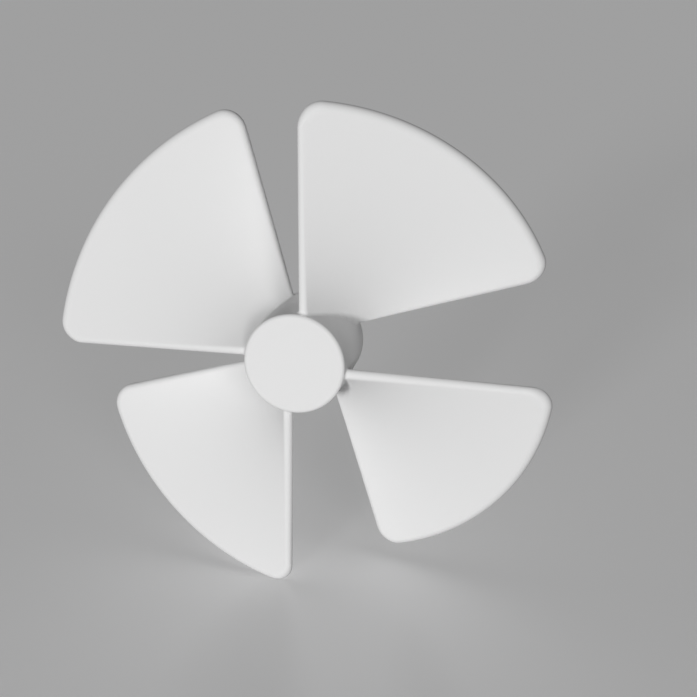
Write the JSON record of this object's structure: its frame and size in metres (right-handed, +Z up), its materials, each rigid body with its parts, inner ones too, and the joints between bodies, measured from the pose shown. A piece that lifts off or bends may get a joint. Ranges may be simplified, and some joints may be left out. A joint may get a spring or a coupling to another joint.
{
  "type": "engine cooling fan",
  "caption": "Moulded axial fan with broad twisted blades on a closed hub, pushed from behind onto a motor shaft.",
  "frame": {"origin": "on the shaft axis, at the middle of the hub's length, which is also the middle of the whole fan", "axes": "+Y along the shaft axis towards the open rear of the hub, +Z up, +X to the right seen from the closed face"},
  "size_m": [0.2982, 0.0568, 0.2982],
  "materials": {
    "moulding": "satin"
  },
  "bodies": {
    "root": {"fan": "moulding"}
  },
  "joints": []
}
